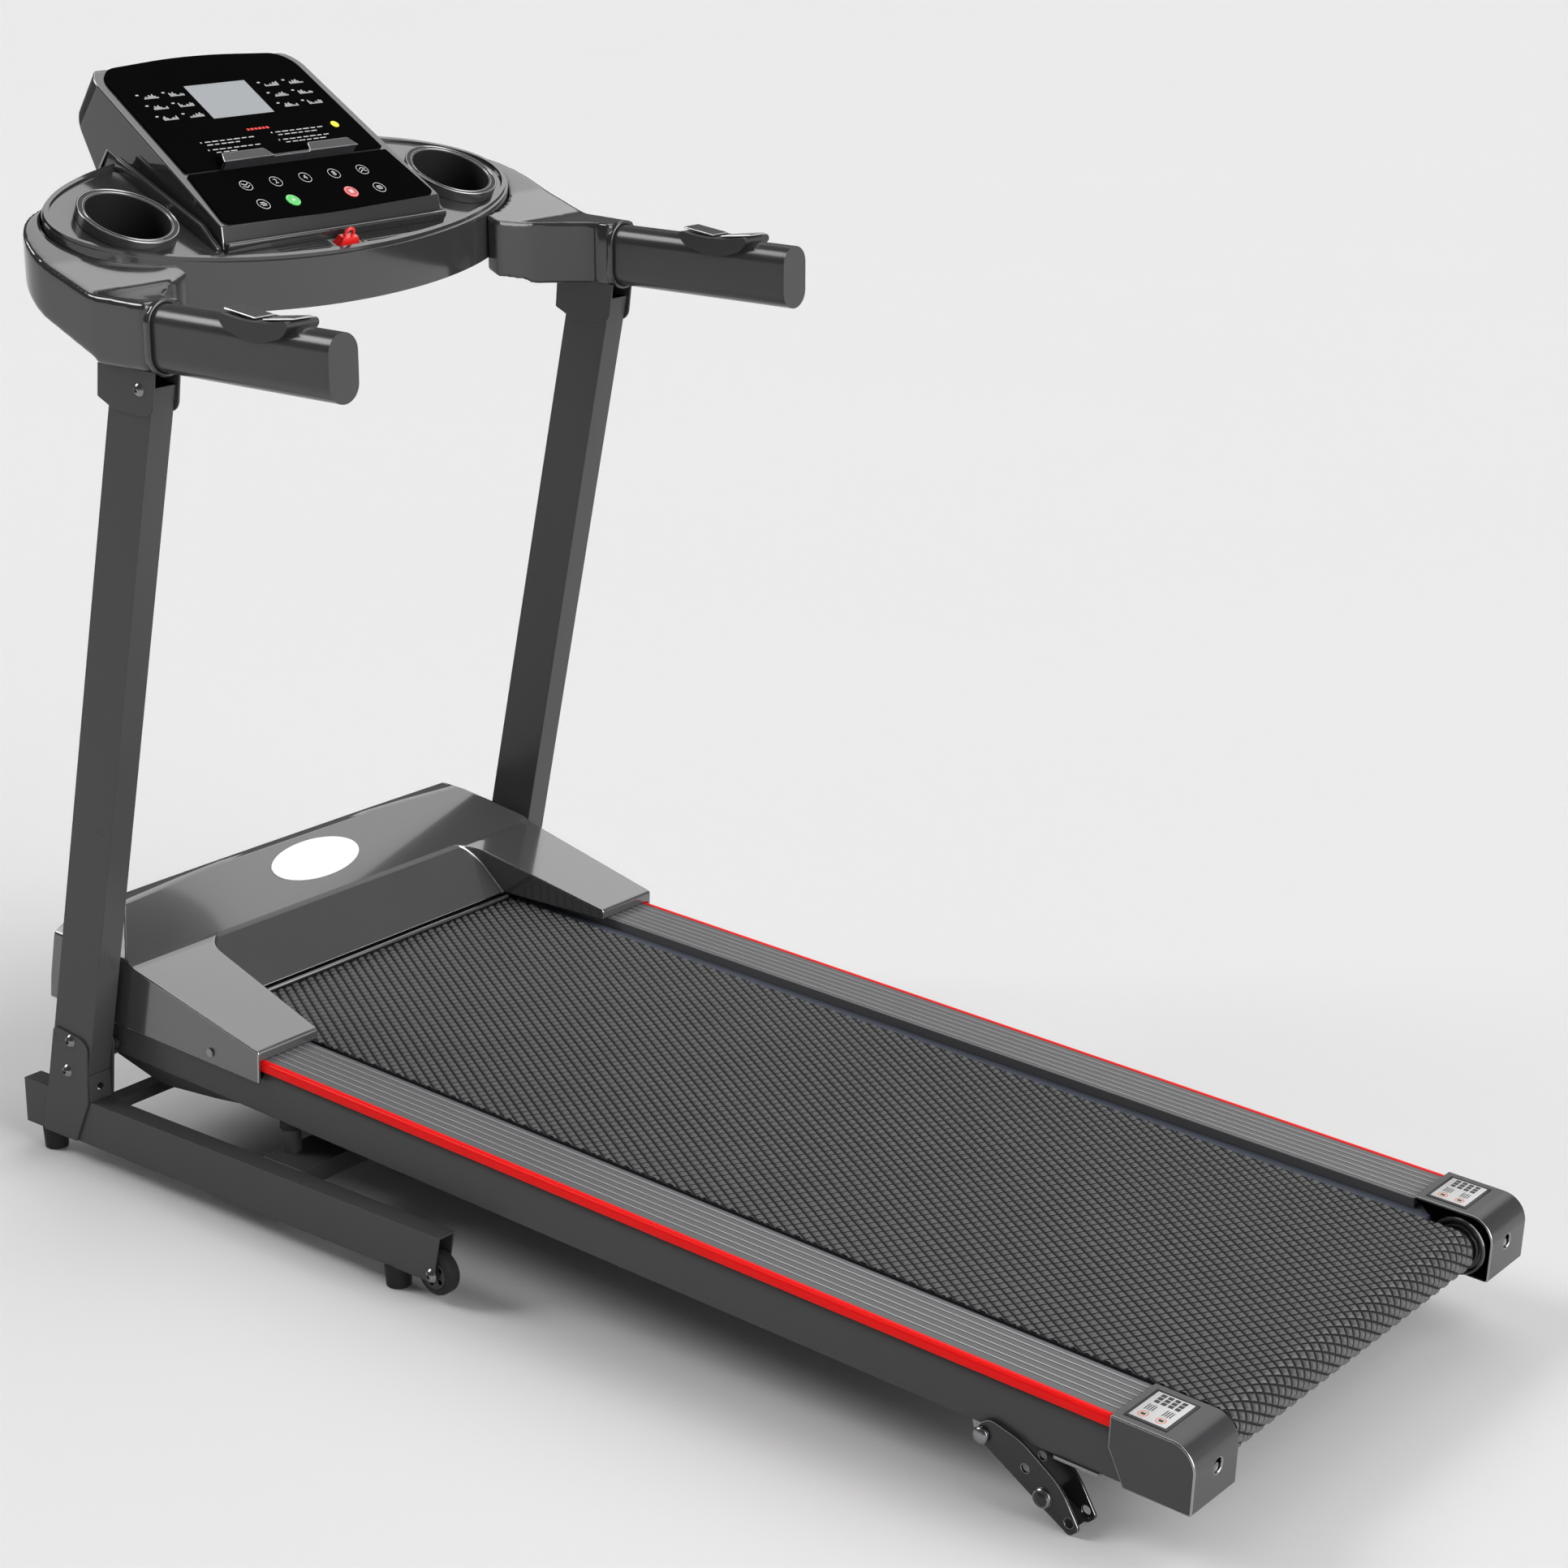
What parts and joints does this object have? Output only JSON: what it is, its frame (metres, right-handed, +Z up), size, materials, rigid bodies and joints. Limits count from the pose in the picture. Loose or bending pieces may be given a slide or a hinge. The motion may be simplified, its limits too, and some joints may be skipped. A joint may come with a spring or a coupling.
{
  "type": "treadmill",
  "caption": "Folding home treadmill with studded running belt, motor hood, leaning uprights, console with display, cup holders and keys, handlebars with pulse grips, and transport wheels.",
  "frame": {"origin": "on the floor under the middle of the machine's bounding box", "axes": "+X to the user's right, +Y from the rear of the deck towards the console (the way the user faces), +Z up"},
  "size_m": [0.688, 1.4499, 1.0882],
  "materials": {
    "frame_paint": "satin",
    "grip_paint": "satin, fine texture",
    "bolt_steel": "dark zinc plated",
    "roller_steel": "turned",
    "motor_paint": "satin",
    "black_rubber": "matt",
    "belt_rubber": "raised square studs, matt",
    "wheel_rubber": "matt",
    "black_plastic": "fine texture",
    "shell_plastic": "semi gloss",
    "overlay_gloss": "high gloss",
    "display_glass": "grey display window",
    "rail_grey": "fine lengthwise grooves",
    "stripe_red": "satin",
    "board_coat": "coated fibreboard, smooth",
    "pulse_chrome": "polished",
    "key_silver": "gloss with printed ring",
    "key_green": "gloss",
    "key_red": "gloss",
    "safety_red": "gloss"
  },
  "bodies": {
    "stand": {"base_rail_left": "frame_paint", "base_rail_right": "frame_paint", "base_cross_tubes": "frame_paint", "rubber_feet": "black_rubber", "rest_posts": "frame_paint", "frame_bolts": "bolt_steel", "upright_brackets": "frame_paint", "upright_left": "frame_paint", "upright_right": "frame_paint", "upper_brackets": "frame_paint", "console_tray": "shell_plastic", "cup_holders": "shell_plastic", "console_arm_left": "shell_plastic", "console_arm_right": "shell_plastic", "handlebar_left": "grip_paint", "handlebar_right": "grip_paint", "handle_end_caps": "black_plastic", "pulse_pods": "black_plastic", "pulse_plates": "pulse_chrome", "display_housing": "shell_plastic", "display_overlay": "overlay_gloss", "lcd_window": "display_glass", "tablet_ledge": "black_plastic", "safety_socket": "black_plastic"},
    "deck": {"deck_side_left": "frame_paint", "deck_side_right": "frame_paint", "deck_cross_tubes": "frame_paint", "deck_board": "board_coat", "running_belt": "belt_rubber", "foot_rail_left": "rail_grey", "foot_rail_right": "rail_grey", "edge_stripes": "stripe_red", "rear_end_caps": "black_plastic", "deck_hardware": "bolt_steel", "motor_body": "motor_paint", "motor_controller": "black_plastic", "drive_belt": "black_rubber", "motor_hood": "shell_plastic", "belly_pan": "black_plastic"},
    "wheel_left": {"transport_wheel_left": "black_plastic", "wheel_tyre_left": "wheel_rubber"},
    "wheel_right": {"transport_wheel_right": "black_plastic", "wheel_tyre_right": "wheel_rubber"},
    "front_roller_body": {"front_roller": "roller_steel"},
    "rear_roller_body": {"rear_roller": "roller_steel"},
    "motor_pulley_body": {"motor_pulley": "roller_steel"},
    "foot_left": {"folding_foot_left": "frame_paint"},
    "foot_right": {"folding_foot_right": "frame_paint"},
    "safety_key_body": {"safety_key": "safety_red"},
    "key_slower_body": {"key_slower": "key_silver"},
    "key_speed_2_body": {"key_speed_2": "key_silver"},
    "key_speed_4_body": {"key_speed_4": "key_silver"},
    "key_speed_8_body": {"key_speed_8": "key_silver"},
    "key_faster_body": {"key_faster": "key_silver"},
    "key_program_body": {"key_program": "key_silver"},
    "key_mode_body": {"key_mode": "key_silver"},
    "key_start_body": {"key_start": "key_green"},
    "key_stop_body": {"key_stop": "key_red"}
  },
  "joints": [
    {"name": "deck_fold", "type": "hinge", "parent": "stand", "child": "deck", "pos_m": [0, 0.569, 0.125], "axis": [-1, 0, 0], "range_deg": [0, 72]},
    {"name": "wheel_left_spin", "type": "hinge", "parent": "stand", "child": "wheel_left", "pos_m": [-0.321, 0.082, 0.03], "axis": [1, 0, 0], "continuous": true},
    {"name": "wheel_right_spin", "type": "hinge", "parent": "stand", "child": "wheel_right", "pos_m": [0.321, 0.082, 0.03], "axis": [1, 0, 0], "continuous": true},
    {"name": "front_roller_spin", "type": "hinge", "parent": "deck", "child": "front_roller_body", "pos_m": [0, 0.50834, 0.13947], "axis": [1, 0, 0], "continuous": true},
    {"name": "rear_roller_spin", "type": "hinge", "parent": "deck", "child": "rear_roller_body", "pos_m": [0, -0.6926, 0.08914], "axis": [1, 0, 0], "continuous": true},
    {"name": "motor_pulley_spin", "type": "hinge", "parent": "deck", "child": "motor_pulley_body", "pos_m": [0, 0.61154, 0.16081], "axis": [1, 0, 0], "continuous": true},
    {"name": "foot_left_fold", "type": "hinge", "parent": "deck", "child": "foot_left", "pos_m": [-0.281, -0.52133, 0.06229], "axis": [1, 0, 0], "range_deg": [0, 62]},
    {"name": "foot_right_fold", "type": "hinge", "parent": "deck", "child": "foot_right", "pos_m": [0.281, -0.52133, 0.06229], "axis": [1, 0, 0], "range_deg": [0, 62]},
    {"name": "safety_key_pull", "type": "slide", "parent": "stand", "child": "safety_key_body", "axis": [0, -0.4226, 0.9063], "range_m": [0, 0.04]},
    {"name": "key_slower_press", "type": "slide", "parent": "stand", "child": "key_slower_body", "axis": [0, 0.5519, -0.8339], "range_m": [0, 0.0008], "stiffness_N_per_m": 400},
    {"name": "key_speed_2_press", "type": "slide", "parent": "stand", "child": "key_speed_2_body", "axis": [0, 0.5519, -0.8339], "range_m": [0, 0.0008], "stiffness_N_per_m": 400},
    {"name": "key_speed_4_press", "type": "slide", "parent": "stand", "child": "key_speed_4_body", "axis": [0, 0.5519, -0.8339], "range_m": [0, 0.0008], "stiffness_N_per_m": 400},
    {"name": "key_speed_8_press", "type": "slide", "parent": "stand", "child": "key_speed_8_body", "axis": [0, 0.5519, -0.8339], "range_m": [0, 0.0008], "stiffness_N_per_m": 400},
    {"name": "key_faster_press", "type": "slide", "parent": "stand", "child": "key_faster_body", "axis": [0, 0.5519, -0.8339], "range_m": [0, 0.0008], "stiffness_N_per_m": 400},
    {"name": "key_program_press", "type": "slide", "parent": "stand", "child": "key_program_body", "axis": [0, 0.5519, -0.8339], "range_m": [0, 0.0008], "stiffness_N_per_m": 400},
    {"name": "key_mode_press", "type": "slide", "parent": "stand", "child": "key_mode_body", "axis": [0, 0.5519, -0.8339], "range_m": [0, 0.0008], "stiffness_N_per_m": 400},
    {"name": "key_start_press", "type": "slide", "parent": "stand", "child": "key_start_body", "axis": [0, 0.5519, -0.8339], "range_m": [0, 0.0008], "stiffness_N_per_m": 400},
    {"name": "key_stop_press", "type": "slide", "parent": "stand", "child": "key_stop_body", "axis": [0, 0.5519, -0.8339], "range_m": [0, 0.0008], "stiffness_N_per_m": 400}
  ],
  "couplings": [
    {"joint": "rear_roller_spin", "follows": "front_roller_spin", "ratio": 1},
    {"joint": "motor_pulley_spin", "follows": "front_roller_spin", "ratio": 2}
  ]
}
